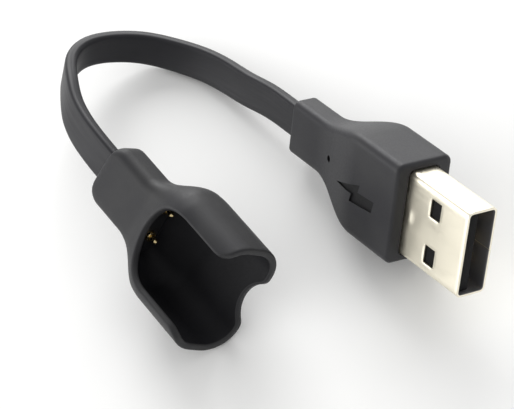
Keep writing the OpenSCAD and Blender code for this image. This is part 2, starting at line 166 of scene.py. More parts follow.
class LeadColours(bpy.types.PropertyGroup):
    """Colours of the finishes."""

    boot: tint("Boot", "Charcoal of the boot", "26262A")
    boot_bloom: tint("Boot bloom", "Paler patches in the boot's surface", "2F2F31")
    cradle: tint("Cradle", "Charcoal of the cradle", "262629")
    cradle_bloom: tint("Cradle bloom", "Paler patches in the cradle's surface", "2F2F30")
    cable: tint("Cable", "Near-black of the cable", "1F1F23")
    nickel: tint("Nickel", "Warm tone of the plated shell", "F7F1DE")
    gold: tint("Gold", "Pale gold plate of contacts and pins", "E3CE9C")
    floor: tint("Floor", "Pale floor", "FBFBFA")


# ---- working in millimetres ----


def millimetres(group):
    """A property group's lengths in millimetres."""
    return SimpleNamespace(**{key: getattr(group, key) * 1000 for key in group.__annotations__})


def turned(roll, tilt, heading):
    """The rotation of an end that is rolled about its own axis, tilted and given a heading."""
    return (
        Matrix.Rotation(math.radians(heading), 4, "Z")
        @ Matrix.Rotation(math.radians(90 + tilt), 4, "X")
        @ Matrix.Rotation(math.radians(roll), 4, "Z")
    )


def plug_frame(sizes):
    """The plug's frame: its origin is on the boot's front face."""
    return Matrix.Translation(CABLE_OUT) @ turned(*PLUG_TURN) @ Matrix.Translation((0, 0, sizes.boot_l))


def cradle_frame():
    """The cradle's frame: its origin is on the face that the cable enters."""
    return Matrix.Translation(CRADLE_AT) @ turned(*CRADLE_TURN)


def ease(t):
    """A smooth step from 0 to 1."""
    t = min(max(t, 0.0), 1.0)
    return t * t * (3 - 2 * t)


def mix(a, b, t):
    """The value a share t of the way from a to b."""
    return a + (b - a) * t


def outline(a, b, r, flat=16, corner=8, side=7):
    """Points round a rounded rectangle of half sizes a and b, always as many, from the middle of its +y side."""
    quarter = [((a - r) * i / flat, b) for i in range(flat)]
    for i in range(corner):
        turn = math.pi / 2 * i / corner
        quarter.append((a - r + r * math.sin(turn), b - r + r * math.cos(turn)))
    quarter += [(a, (b - r) * (1 - i / side)) for i in range(side + 1)]
    half = quarter + [(x, -y) for x, y in reversed(quarter[:-1])]
    return half + [(-x, y) for x, y in reversed(half[1:-1])]


def around(a, b, r, run):
    """The point and outward normal on a rounded rectangle, a signed run along it from the middle of its +y side."""
    s = abs(run)
    arc = math.pi * r / 2
    if s <= a - r:
        point = (s, b, 0, 1)
    elif s <= a - r + arc:
        t = (s - a + r) / r
        point = (a - r + r * math.sin(t), b - r + r * math.cos(t), math.sin(t), math.cos(t))
    elif s <= a - r + arc + 2 * (b - r):
        point = (a, b - r - (s - a + r - arc), 1, 0)
    elif s <= a - r + 2 * arc + 2 * (b - r):
        t = (s - (a - r + arc + 2 * (b - r))) / r
        point = (a - r + r * math.cos(t), r - b - r * math.sin(t), math.cos(t), -math.sin(t))
    else:
        point = (2 * (a - r) + 2 * arc + 2 * (b - r) - s, -b, 0, -1)
    sign = 1 if run >= 0 else -1
    return Vector((sign * point[0], point[1])), Vector((sign * point[2], point[3]))


def perimeter(a, b, r):
    """The length round a rounded rectangle of half sizes a and b."""
    return 4 * (a - r) + 4 * (b - r) + 2 * math.pi * r


# ---- modelling steps ----


def extrude_row(bm, row, closed=False):
    """Extrudes a row of joined vertices and returns the new row in the same order."""
    pairs = list(zip(row, row[1:])) + ([(row[-1], row[0])] if closed else [])
    grown = bmesh.ops.extrude_edge_only(bm, edges=[bm.edges.get(pair) for pair in pairs])["geom"]
    fresh = {item for item in grown if isinstance(item, bmesh.types.BMVert)}
    return [next(e.other_vert(v) for e in v.link_edges if e.other_vert(v) in fresh) for v in row]


def loft(bm, rings):
    """Skins a chain of closed rings that hold the same number of points."""
    row = bmesh.ops.create_circle(bm, segments=len(rings[0]), radius=1)["verts"]
    for vert, point in zip(row, rings[0]):
        vert.co = point
    for ring in rings[1:]:
        row = extrude_row(bm, row, closed=True)
        for vert, point in zip(row, ring):
            vert.co = point
    return row


def rings_of(stations, **steps):
    """Rings from stations of half width, half thickness, corner radius and height."""
    return [[Vector((x, y, z)) for x, y in outline(a, b, r, **steps)] for a, b, r, z in stations]


def flat_grid(bm, columns, rows):
    """A flat grid with its lines at the given places."""
    bmesh.ops.create_grid(bm, x_segments=len(columns) - 1, y_segments=len(rows) - 1, size=1)
    for vert in bm.verts:
        i = round((vert.co.x + 1) / 2 * (len(columns) - 1))
        j = round((vert.co.y + 1) / 2 * (len(rows) - 1))
        vert.co = (columns[i], rows[j], 0)


def spaced(marks, step):
    """Places from the first mark to the last, with one at each mark and none more than a step apart."""
    places = [marks[0]]
    for a, b in zip(marks, marks[1:]):
        count = max(1, math.ceil((b - a) / step - 1e-6))
        places += [a + (b - a) * (i + 1) / count for i in range(count)]
    return places


def slope(distance, x, y, h=1e-4):
    """The direction in which a distance grows fastest."""
    g = Vector((distance(x + h, y) - distance(x - h, y), distance(x, y + h) - distance(x, y - h)))
    return g.normalized() if g.length > 1e-9 else g


def to_outline(distance, x, y, level=0.0):
    """The point near x, y where the distance has a level."""
    for _ in range(6):
        g = slope(distance, x, y)
        off = level - distance(x, y)
        x, y = x + g.x * off, y + g.y * off
    return x, y


def polygon_distance(points, x, y):
    """How far a point is outside a closed polygon, and below zero inside it."""
    best, inside = 1e9, False
    for (ax, ay), (bx, by) in zip(points, points[1:] + points[:1]):
        t = ((x - ax) * (bx - ax) + (y - ay) * (by - ay)) / ((bx - ax) ** 2 + (by - ay) ** 2)
        t = min(max(t, 0), 1)
        best = min(best, math.hypot(x - mix(ax, bx, t), y - mix(ay, by, t)))
        if (ay > y) != (by > y) and x < (bx - ax) * (y - ay) / (by - ay) + ax:
            inside = not inside
    return -best if inside else best


def sink(bm, points, height, depth, sunk_shade_slot=0):
    """Engraves a polygon in x and z into the marked face, whose height is known along z, to a depth."""
    x0, x1 = min(x for x, _ in points) - 0.5, max(x for x, _ in points) + 0.5
    z0, z1 = min(z for _, z in points) - 0.5, max(z for _, z in points) + 0.5

    def on_face(face):
        c = face.calc_center_median()
        return face.normal.y > 0.6 and x0 < c.x < x1 and z0 < c.z < z1 and abs(c.y - height(c.z)) < 0.2

    for (ax, az), (bx, bz) in zip(points, points[1:] + points[:1]):
        run = math.hypot(bx - ax, bz - az)
        near = []
        for face in bm.faces:
            if on_face(face):
                c = face.calc_center_median()
                along = ((c.x - ax) * (bx - ax) + (c.z - az) * (bz - az)) / run
                off = abs((c.x - ax) * (bz - az) - (c.z - az) * (bx - ax)) / run
                if -0.4 < along < run + 0.4 and off < 0.5:
                    near.append(face)
        edges = list({e for f in near for e in f.edges})
        verts = list({v for f in near for v in f.verts})
        bmesh.ops.bisect_plane(
            bm, geom=verts + edges + near, dist=1e-4, plane_co=(ax, 0, az), plane_no=(bz - az, 0, ax - bx)
        )
    bm.normal_update()
    inside = []
    for face in bm.faces:
        if on_face(face):
            c = face.calc_center_median()
            if polygon_distance(points, c.x, c.z) < 0:
                inside.append(face)
    edges = list({e for f in inside for e in f.edges})
    verts = list({v for f in inside for v in f.verts})
    grown = bmesh.ops.extrude_face_region(bm, geom=inside + edges + verts)["geom"]
    fresh = {v for v in grown if isinstance(v, bmesh.types.BMVert)}
    bmesh.ops.translate(bm, verts=list(fresh), vec=(0, -depth, 0))
    # the sunk faces take the material in the given slot, which is painted darker as shade in the recess
    for face in bm.faces:
        if any(v in fresh for v in face.verts):
            face.material_index = sunk_shade_slot


def turned_solid(bm, profile, at):
    """Spins a profile of radius and height once round the z axis, and moves it to its place."""
    verts = [bm.verts.new((r, 0, z)) for r, z in profile]
    edges = [bm.edges.new(pair) for pair in zip(verts, verts[1:])]
    bmesh.ops.spin(bm, geom=verts + edges, axis=(0, 0, 1), cent=(0, 0, 0), angle=2 * math.pi, steps=48, use_merge=True)
    bmesh.ops.remove_doubles(bm, verts=bm.verts, dist=1e-5)
    bmesh.ops.translate(bm, verts=bm.verts, vec=at)


def make_piece(bm, name, place, material, body, replaces=(), closed=True, sharp=35.0):
    """Turns a model in millimetres into a piece in its place, finished and riding on its body."""
    bmesh.ops.remove_doubles(bm, verts=bm.verts, dist=1e-5)
    if closed:
        bmesh.ops.recalc_face_normals(bm, faces=bm.faces)
    bmesh.ops.transform(bm, matrix=Matrix.Scale(0.001, 4) @ place, verts=bm.verts)
    mesh = bpy.data.meshes.new(name)
    bm.to_mesh(mesh)
    bm.free()
    mesh.shade_smooth()
    mesh.set_sharp_from_angle(angle=math.radians(sharp))
    piece = bpy.data.objects.new(name, mesh)
    bpy.context.scene.collection.objects.link(piece)
    mesh.materials.append(material)
    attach(piece, body)
    if replaces:
        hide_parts(*replaces)
    return piece


# ---- finishes ----


def add_node(tree, kind, links=None, values=None, **settings):
    """Adds a shader node with its settings, input values and incoming links."""
    node = tree.nodes.new(kind)
    for key, value in settings.items():
        setattr(node, key, value)
    for key, value in (values or {}).items():
        node.inputs[key].default_value = value
    for key, socket in (links or {}).items():
        tree.links.new(socket, node.inputs[key])
    return node


def new_material(name):
    """An empty material, its node tree and its shader."""
    material = bpy.data.materials.get(name)
    if material:
        bpy.data.materials.remove(material)
    material = bpy.data.materials.new(name)
    material.use_nodes = True
    tree = material.node_tree
    return material, tree, tree.nodes["Principled BSDF"]


def two_tones(tree, share, one, other):
    """The output that blends two linear colours by a share."""
    values = {6: (*one, 1), 7: (*other, 1)}
    return add_node(tree, "ShaderNodeMix", {"Factor": share}, values, data_type="RGBA").outputs[2]


def dress(tree, shader, colour, rough, bump):
    """Links a colour, a roughness range and a bump to a shader."""
    tree.links.new(colour, shader.inputs["Base Color"])
    tree.links.new(rough.outputs["Result"], shader.inputs["Roughness"])
    tree.links.new(bump.outputs["Normal"], shader.inputs["Normal"])


def grain_scale(size_mm):
    """The scale of a pattern in Object coordinates whose grain has a size in millimetres."""
    return 1000 / size_mm


def moulded_plastic(name, base, bloom, roughness=0.5, grain_mm=0.22, relief=0.3, shine=0.4):
    """Soft overmoulded elastomer from a spark-eroded tool: an even dark matte with a fine pebble and faint bloom."""
    material, tree, shader = new_material(name)
    place = add_node(tree, "ShaderNodeTexCoord").outputs["Object"]
    # the real pebble is about 0.05 mm, drawn coarser so that it shows
    pebble = add_node(
        tree, "ShaderNodeTexNoise", {"Vector": place}, {"Scale": grain_scale(grain_mm), "Detail": 3, "Roughness": 0.6}
    )
    cloud = add_node(tree, "ShaderNodeTexNoise", {"Vector": place}, {"Scale": grain_scale(7), "Detail": 2})
    spread = add_node(
        tree, "ShaderNodeMapRange", {"Value": cloud.outputs["Fac"]}, {"From Min": 0.35, "From Max": 0.65}
    )
    speck = add_node(
        tree, "ShaderNodeMapRange", {"Value": pebble.outputs["Fac"]},
        {"From Min": 0.3, "From Max": 0.7, "To Min": -0.2, "To Max": 0.25},
    )
    share = add_node(
        tree, "ShaderNodeMath", {0: spread.outputs["Result"], 1: speck.outputs["Result"]}, operation="ADD",
        use_clamp=True,
    )
    colour = two_tones(tree, share.outputs[0], base, bloom)
    rough = add_node(
        tree, "ShaderNodeMapRange", {"Value": pebble.outputs["Fac"]},
        {"From Min": 0.3, "From Max": 0.7, "To Min": roughness - 0.06, "To Max": roughness + 0.08},
    )
    bump = add_node(
        tree, "ShaderNodeBump", {"Height": pebble.outputs["Fac"]}, {"Strength": relief, "Distance": 0.00002}
    )
    dress(tree, shader, colour, rough, bump)
    shader.inputs["IOR"].default_value = 1.5
    shader.inputs["Specular IOR Level"].default_value = shine
    return material


def cable_skin(name, base):
    """Extruded TPE jacket: satin, smooth across, with faint draw lines along its length."""
    material, tree, shader = new_material(name)
    lay = add_node(tree, "ShaderNodeUVMap", uv_map="lay").outputs["UV"]
    # the UV map is in metres: across the surface first, then along the cable
    stretch = add_node(tree, "ShaderNodeMapping", {"Vector": lay}, {"Scale": (1, 0.03, 1)})
    lines = add_node(
        tree, "ShaderNodeTexNoise", {"Vector": stretch.outputs[0]}, {"Scale": grain_scale(0.25), "Detail": 2}
    )
    dust = add_node(tree, "ShaderNodeTexNoise", {"Vector": lay}, {"Scale": grain_scale(3), "Detail": 3})
    colour = two_tones(tree, dust.outputs["Fac"], [c * 0.85 for c in base], [c * 1.2 for c in base])
    rough = add_node(
        tree, "ShaderNodeMapRange", {"Value": lines.outputs["Fac"]},
        {"From Min": 0.3, "From Max": 0.7, "To Min": 0.4, "To Max": 0.52},
    )
    bump = add_node(tree, "ShaderNodeBump", {"Height": lines.outputs["Fac"]}, {"Strength": 0.25, "Distance": 0.00001})
    dress(tree, shader, colour, rough, bump)
    shader.inputs["IOR"].default_value = 1.48
    shader.inputs["Specular IOR Level"].default_value = 0.32
    return material


def plated_metal(name, base, place, roughness=0.36, line_mm=0.12):
    """Rolled and plated sheet metal: bright, with hair lines along the drawn length and a faint cloud in the plate."""
    material, tree, shader = new_material(name)
    where = add_node(tree, "ShaderNodeTexCoord").outputs["Object"]
    turn = add_node(
        tree, "ShaderNodeMapping", {"Vector": where}, {"Rotation": tuple(place.to_euler())}, vector_type="TEXTURE"
    )
    stretch = add_node(tree, "ShaderNodeMapping", {"Vector": turn.outputs[0]}, {"Scale": (1, 1, 0.04)})
    hair = add_node(
        tree, "ShaderNodeTexNoise", {"Vector": stretch.outputs[0]}, {"Scale": grain_scale(line_mm), "Detail": 2}
    )
    cloud = add_node(tree, "ShaderNodeTexNoise", {"Vector": where}, {"Scale": grain_scale(4), "Detail": 3})
    colour = two_tones(tree, cloud.outputs["Fac"], base, [c * 0.9 for c in base])
    both = add_node(tree, "ShaderNodeMath", {0: hair.outputs["Fac"], 1: cloud.outputs["Fac"]}, operation="ADD")
    rough = add_node(
        tree, "ShaderNodeMapRange", {"Value": both.outputs[0]},
        {"From Min": 0.7, "From Max": 1.3, "To Min": roughness - 0.05, "To Max": roughness + 0.07},
    )
    bump = add_node(tree, "ShaderNodeBump", {"Height": hair.outputs["Fac"]}, {"Strength": 0.03, "Distance": 0.000002})
    dress(tree, shader, colour, rough, bump)
    shader.inputs["Metallic"].default_value = 1.0
    return material


# ---- the stage ----


class LEAD_OT_stage(bpy.types.Operator):
    """Set up the camera, the pale floor and the soft lights"""

    bl_idname = "lead.stage"
    bl_label = "Stage"

    def execute(self, context):
        scene = context.scene
        aim = plug_frame(millimetres(scene.lead_plug)).translation
        camera = bpy.data.objects.new("camera", bpy.data.cameras.new("camera"))
        scene.collection.objects.link(camera)
        camera.data.lens = LENS
        camera.data.sensor_width = 36
        camera.data.clip_start = 0.01
        forward = FORWARD.normalized()
        right = forward.cross(UPRIGHT).normalized()
        up = right.cross(forward)
        where = (aim + SEEN_FROM) * 0.001
        camera.matrix_world = Matrix.Translation(where) @ Matrix((right, up, -forward)).transposed().to_4x4()
        scene.camera = camera
        scene.view_settings.view_transform = "Standard"

        bm = bmesh.new()
        bmesh.ops.create_grid(bm, x_segments=1, y_segments=1, size=2.0)
        mesh = bpy.data.meshes.new("floor")
        bm.to_mesh(mesh)
        bm.free()
        floor = bpy.data.objects.new("floor", mesh)
        scene.collection.objects.link(floor)
        material, tree, shader = new_material("pale_floor")
        place = add_node(tree, "ShaderNodeTexCoord").outputs["Object"]
        cloud = add_node(tree, "ShaderNodeTexNoise", {"Vector": place}, {"Scale": 3.0})
        pale = scene.lead_colours.floor
        colour = two_tones(tree, cloud.outputs["Fac"], pale, [c * 0.98 for c in pale])
        tree.links.new(colour, shader.inputs["Base Color"])
        shader.inputs["Roughness"].default_value = 0.7
        mesh.materials.append(material)

        world = bpy.data.worlds.new("studio")
        world.use_nodes = True
        sky = world.node_tree.nodes["Background"]
        sky.inputs["Color"].default_value = (1, 1, 1, 1)
        sky.inputs["Strength"].default_value = SKY
        scene.world = world
        for name, (spot, size, power) in LAMPS.items():
            data = bpy.data.lights.new(name, "AREA")
            data.size = size
            data.energy = power
            lamp = bpy.data.objects.new(name, data)
            scene.collection.objects.link(lamp)
            lamp.location = spot
            lamp.rotation_euler = (-Vector(spot)).to_track_quat("-Z", "Y").to_euler()
        return {"FINISHED"}


# ---- the flat cable ----


def spline(points, i, t):
    """A place on a uniform cubic spline and the direction there, between points i and i + 1."""
    a, b, c, d = points[i - 1 : i + 3]
    place = (a * (1 - t) ** 3 + b * (3 * t**3 - 6 * t**2 + 4) + c * (-3 * t**3 + 3 * t**2 + 3 * t + 1) + d * t**3) / 6
    along = (-a * (1 - t) ** 2 + b * (3 * t**2 - 4 * t) + c * (-3 * t**2 + 2 * t + 1) + d * t**2) / 2
    return place, along


def cable_line(plug, cable, steps):
    """Places along the cable's centre line, with its direction and the direction of its upper edge."""
    at_plug, at_cradle = plug_frame(plug), cradle_frame()
    inner = cable.in_boot - plug.boot_l
    stations = [at_plug @ Vector((0, 0, inner + z)) for z in (2, 0, -2, -4, -6, -8.5)]
    stations += [CABLE_OUT + Vector(p) for p in ROUTE]
    stations += [at_cradle @ Vector((0, 0, z)) for z in (-2.5, 0, cable.in_cradle / 2, cable.in_cradle)]
    stations.append(at_cradle @ Vector((0, 0, 1.5 * cable.in_cradle)))
    ups = [turned(*PLUG_TURN) @ Vector((1, 0, 0))] * 3 + [Vector(u) for u in EDGE_UP]
    ups += [turned(*CRADLE_TURN) @ Vector((1, 0, 0))] * 3
    spans = len(stations) - 3
    line = []
    for k in range(spans * steps + 1):
        i = min(k // steps, spans - 1)
        place, along = spline(stations, i + 1, k / steps - i)
        along.normalize()
        share = min(max((k / steps - 3) / (spans - 5), 0), 1) * (len(ups) - 3)
        j = min(math.floor(share), len(ups) - 4)
        up = spline(ups, j + 1, share - j)[0]
        up = (up - along * up.dot(along)).normalized()
        line.append((place, along, up))
    return line


class LEAD_OT_cable(bpy.types.Operator):
    """Model the flat cable on its route from the boot to the cradle"""

    bl_idname = "lead.cable"
    bl_label = "Flat cable"

    def execute(self, context):
        cable = millimetres(context.scene.lead_cable)
        line = cable_line(millimetres(context.scene.lead_plug), cable, 9)
        section = outline(cable.width / 2, cable.thickness / 2, cable.edge_r, flat=5, corner=6, side=1)
        rings = []
        for place, along, up in line:
            side = along.cross(up)
            rings.append([place + up * x + side * y for x, y in section])
        bm = bmesh.new()
        last = loft(bm, rings)
        bm.verts.ensure_lookup_table()
        first = list(bm.verts)[: len(section)]
        bm.faces.new(last)
        bm.faces.new(first)
        lay = bm.loops.layers.uv.new("lay")
        runs = [0.0]
        for a, b in zip(line, line[1:]):
            runs.append(runs[-1] + (b[0] - a[0]).length)
        round_runs = [0.0]
        for a, b in zip(section, section[1:] + section[:1]):
            round_runs.append(round_runs[-1] + math.dist(a, b))
        count = len(section)
        for face in bm.faces:
            columns = [loop.vert.index % count for loop in face.loops]
            wraps = 0 in columns and count - 1 in columns
            for loop, column in zip(face.loops, columns):
                run = round_runs[count if wraps and column == 0 else column]
                loop[lay].uv = (run / 1000, runs[loop.vert.index // count] / 1000)
        skin = cable_skin("satin_cable_jacket", context.scene.lead_colours.cable)
        piece = make_piece(bm, "flat_cable", Matrix(), skin, "lead", ["cable_jacket"])
        return {"FINISHED"}


# ---- the plug ----


class LEAD_OT_shell(bpy.types.Operator):
    """Model the plug's folded metal shell with its latch windows"""

    bl_idname = "lead.shell"
    bl_label = "Plug shell"

    def execute(self, context):
        s = millimetres(context.scene.lead_plug)
        a, b, r = s.shell_w / 2, s.shell_t / 2, s.shell_r
        whole = perimeter(a, b, r)
        seam = 0.04
        far = whole / 2
        w0, w1 = s.window_pitch / 2 - s.window_w / 2, s.window_pitch / 2 + s.window_w / 2
        arc = math.pi * r / 2
        bends = [a - r, a - r + arc / 4, a - r + arc / 2, a - r + arc * 3 / 4, a - r + arc]
        bends += [bends[-1] + 2 * (b - r)]
        bends += [bends[-1] + arc * k / 4 for k in (1, 2, 3, 4)]
        half = [0, 0.3, 0.7, 1.1, w0, w1, *bends, far - w1, far - w0, far - seam / 2]
        columns = spaced([-v for v in reversed(half[1:])] + half, 0.5)
        top = s.shell_out - s.window_setback
        rows = spaced([-s.shell_in, 0.4, 0.75, 1.0, 1.25, 1.6, top - s.window_l, top, s.shell_out], 0.6)
        bm = bmesh.new()
        flat_grid(bm, columns, rows)

        def in_window(face):
            c = face.calc_center_median()
            run = min(abs(c.x), far - abs(c.x))
            return w0 < run < w1 and top - s.window_l < c.y < top

        bmesh.ops.delete(bm, geom=[f for f in bm.faces if in_window(f)], context="FACES")
        for vert in bm.verts:
            run, z = vert.co.x, vert.co.y
            point, out = around(a, b, r, run)
            # a stamped dash stands proud near the root
            proud = 0.1 * ease(1.4 - abs(run)) * ease(1.5 - abs(z - 1.0) / 0.3) if abs(run) < 1.4 else 0
            point += out * proud
            vert.co = (point.x, point.y, z)
        bm.normal_update()
        if sum(f.normal.dot(Vector((f.calc_center_median().x, f.calc_center_median().y, 0))) for f in bm.faces) < 0:
            bmesh.ops.reverse_faces(bm, faces=bm.faces)
        place = plug_frame(s)
        nickel = plated_metal("bright_nickel_plate", context.scene.lead_colours.nickel, place)
        piece = make_piece(bm, "plug_shell", place, nickel, "lead", ["usb_shell"], closed=False)
        # the inside of the shell is painted a darker grey as shade inside the mouth, and is rougher
        piece.data.materials.append(plated_metal("inner_plate_painted_shade", linear("B4B4B8"), place, 0.5))
        wall = piece.modifiers.new("sheet", "SOLIDIFY")
        wall.thickness = s.sheet / 1000
        wall.offset = -1
        wall.use_even_offset = True
        # the inner faces take the second material, painted darker as shade
        wall.material_offset = 1
        edge = piece.modifiers.new("edges", "BEVEL")
        edge.width = 0.00006
        edge.segments = 2
        edge.limit_method = "ANGLE"
        edge.angle_limit = math.radians(50)
        return {"FINISHED"}


class LEAD_OT_tongue(bpy.types.Operator):
    """Model the insulating tongue and the block behind it"""

    bl_idname = "lead.tongue"
    bl_label = "Plug tongue"

    def execute(self, context):
        s = millimetres(context.scene.lead_plug)
        w, t = s.shell_w - 2 * s.sheet, s.shell_t - 2 * s.sheet
        low = s.shell_t / 2 - s.sheet - s.tongue_t
        front = 2.4
        bm = bmesh.new()
        block = ((-w / 2, -t / 2, -s.shell_in), (w / 2, t / 2, front))
        tongue = ((0.15 - w / 2, low, front - 1), (w / 2 - 0.15, t / 2, s.shell_out - s.tongue_setback))
        for lo, hi in (block, tongue):
            cube = bmesh.ops.create_cube(bm, size=1)["verts"]
            for vert in cube:
                vert.co = [a if c < 0 else b for a, b, c in zip(lo, hi, vert.co)]
            crisp = list({e for v in cube for e in v.link_edges})
            bmesh.ops.bevel(
                bm, geom=crisp, offset=0.12, offset_type="OFFSET", segments=3, profile=0.5, affect="EDGES", material=-1
            )
        nylon = moulded_plastic("moulded_black_nylon", linear("070708"), linear("0C0C0D"), 0.55, 0.3, 0.15, 0.15)
        make_piece(bm, "plug_tongue", plug_frame(s), nylon, "lead", ["usb_insulator"])
        return {"FINISHED"}


class LEAD_OT_boot(bpy.types.Operator):
    """Model the plug's moulded boot with its vent hole and engraved mark"""

    bl_idname = "lead.boot"
    bl_label = "Boot"

    def execute(self, context):
        s = millimetres(context.scene.lead_plug)
        cable = millimetres(context.scene.lead_cable)
        back = -s.boot_l

        def share(z):
            return ease((z - back - s.neck_l) / s.flare_l)

        def half_width(z):
            return mix(s.neck_w / 2, s.boot_w / 2, share(z))

        def half_thick(z):
            return mix(s.neck_t / 2, s.boot_t / 2, share(z))

        def corner(z):
            return mix(1.0, 1.1, share(z))

        # radii on the front and back edges, the step between rings and the depth of the shell's socket
        soft, end_soft, step, socket = 0.5, 0.4, 0.35, -3.9
        shell = (s.shell_w / 2 + 0.03, s.shell_t / 2 + 0.03, s.shell_r + 0.03)
        stations = [(*shell, z) for z in (socket, -0.4)]
        stations.append((shell[0] + 0.15, shell[1] + 0.15, shell[2], 0.0))
        for k in range(5):
            turn = math.pi / 2 * k / 4
            in_by, z = soft * (1 - math.sin(turn)), -soft * (1 - math.cos(turn))
            stations.append((half_width(z) - in_by, half_thick(z) - in_by, corner(z) - in_by * 0.6, z))
        z = -soft - step
        while z > back + 0.5:
            stations.append((half_width(z), half_thick(z), corner(z), z))
            z -= step
        for k in range(5):
            turn = math.pi / 2 * k / 4
            in_by = end_soft * (1 - math.cos(turn))
            z = back + end_soft * (1 - math.sin(turn))
            stations.append((s.neck_w / 2 - in_by, s.neck_t / 2 - in_by, 1.0 - in_by * 0.6, z))
        slot = (cable.width / 2 + FIT, cable.thickness / 2 + FIT, cable.edge_r + FIT)
        stations += [(slot[0] + 0.1, slot[1] + 0.1, slot[2], back), (*slot, back + 0.15), (*slot, back + 1.5)]
        # room for the crimp around the cable, and ahead of it for the inner mould and the rear shell
        crimp, mould = (2.82, 1.27, 0.2), (6.38, 2.63, 0.2)
        stations += [(*crimp, back + 1.52), (*crimp, back + 5.5), (2.95, 1.3, 0.2, back + 5.6)]
        stations += [(*mould, -s.shell_in - 3), (*mould, socket - 0.02), (*shell, socket)]
        bm = bmesh.new()
        loft(bm, rings_of(stations))
        bmesh.ops.remove_doubles(bm, verts=bm.verts, dist=1e-5)
        bmesh.ops.recalc_face_normals(bm, faces=bm.faces)
        tilt = math.radians(MARK_TURN)
        across, along = (math.cos(tilt), math.sin(tilt)), (-math.sin(tilt), math.cos(tilt))
        bolt = [tuple(MARK_AT[i] + u * across[i] + v * along[i] for i in (0, 1)) for u, v in MARK]
        # slot 1 is the darker material, painted shade in the sunk mark and the vent
        sink(bm, bolt, half_thick, s.mark_depth, 1)
        vent, vent_depth = back + s.neck_l + 3.7, 0.9
        turns = [math.radians(t) for t in range(0, 360, 18)]
        hole = [(s.vent_r * math.cos(t), vent + s.vent_r * math.sin(t)) for t in turns]
        sink(bm, hole, half_thick, vent_depth, 1)
        colours = context.scene.lead_colours
        rubber = moulded_plastic("spark_eroded_boot_elastomer", colours.boot, colours.boot_bloom, 0.5, shine=0.36)
        piece = make_piece(bm, "plug_boot", plug_frame(s), rubber, "lead", ["usb_boot"], sharp=30)
        # the sunk faces of the mark and the vent hole are painted darker as shade in the recesses, and are rougher
        piece.data.materials.append(moulded_plastic("sunk_elastomer_painted_shade", linear("111113"), linear("1A1A1C"), 0.7))
        return {"FINISHED"}


# ---- the cradle ----


class CupSurface:
    """The cradle's outer surface over a flat map: a signed run round the full cup, and a height."""

    # heights between which the neck grows into the cup, in width, in thickness and at the corners
    WIDER, THICKER, ROUNDER = (7.6, 15.5), (9.2, 17.2), (8.0, 16.0)
    # radius on the neck's wide faces at its end
    END_SOFT = 0.8
    # run from the front's middle that keeps its length in narrower sections
    KEEP = 6.0
    # radii on the corners where the open front meets the mouth, and where the mouth meets the notch
    MOUTH_R, NOTCH_R = 2.0, 0.7
    # how far the arch of the open front starts above the pocket's floor
    ARCH_FOOT = 0.7

    def __init__(self, c):
        self.c = c
        self.full = perimeter(c.cup_w / 2, c.cup_t / 2, c.cup_r)

    def section(self, z):
        """Half width, half thickness and corner radius at a height."""
        c = self.c
        a = mix(c.neck_w / 2, c.cup_w / 2, self.grown(z, self.WIDER)) - self.set_in(z, c.end_r)
        b = mix(c.neck_t / 2, c.cup_t / 2, self.grown(z, self.THICKER)) - self.set_in(z, self.END_SOFT)
        return a, b, min(mix(c.neck_r, c.cup_r, self.grown(z, self.ROUNDER)), b - 0.25)

    @staticmethod
    def grown(z, span):
        """The eased share of a span of heights that lies below a height."""
        return ease((z - span[0]) / (span[1] - span[0]))

    @staticmethod
    def set_in(z, r):
        """How far a corner of a radius at the end draws the side in at a height."""
        return r - math.sqrt(max(r * r - max(r - z, 0) ** 2, 0))

    def spread(self, run, a, b, r):
        """The run round a section that belongs to a run on the map."""
        whole = perimeter(a, b, r) / 2
        s = abs(run)
        if s > self.KEEP:
            s = self.KEEP + (s - self.KEEP) * (whole - self.KEEP) / (self.full / 2 - self.KEEP)
        return math.copysign(min(s, whole), run)

    def point(self, run, z):
        """A point on the outer surface."""
        a, b, r = self.section(z)
        p, _ = around(a, b, r, self.spread(run, a, b, r))
        return Vector((p.x, p.y, z))

    def inward(self, run, z, h=0.02):
        """The direction into the wall."""
        a, b, r = self.section(z)
        _, out = around(a, b, r, self.spread(run, a, b, r))
        steep = (self.point(run, z + h) - self.point(run, z - h)) / (2 * h)
        rise = -(steep.x * out.x + steep.y * out.y)
        return -Vector((out.x, out.y, rise)).normalized()

    def distance(self, run, z):
        """How far a place on the map is inside the cup's wall, measured from the nearest edge of the wall."""
        c = self.c
        arch = c.seat_z + self.ARCH_FOOT + c.front_gap
        side = abs(run) - c.front_gap if z > arch else math.hypot(run, z - arch) - c.front_gap
        half = c.cup_t / 2
        p, _ = around(c.cup_w / 2, half, c.cup_r, min(max(run, -self.full / 2), self.full / 2))
        mouth = c.length - c.mouth_slant * (p.y + half) / c.cup_t - z
        radius = (c.notch_w**2 / 4 + c.notch_d**2) / (2 * c.notch_d)
        notch = math.hypot(abs(run) - self.full / 2, z - (c.length - c.notch_d + radius)) - radius
        return self.both(self.both(side, mouth, self.MOUTH_R), notch, self.NOTCH_R)

    @staticmethod
    def both(one, other, soft):
        """The distance inside two regions at once, with their corner rounded."""
        if min(one, other) >= soft:
            return min(one, other)
        return soft - math.hypot(max(soft - one, 0), max(soft - other, 0))


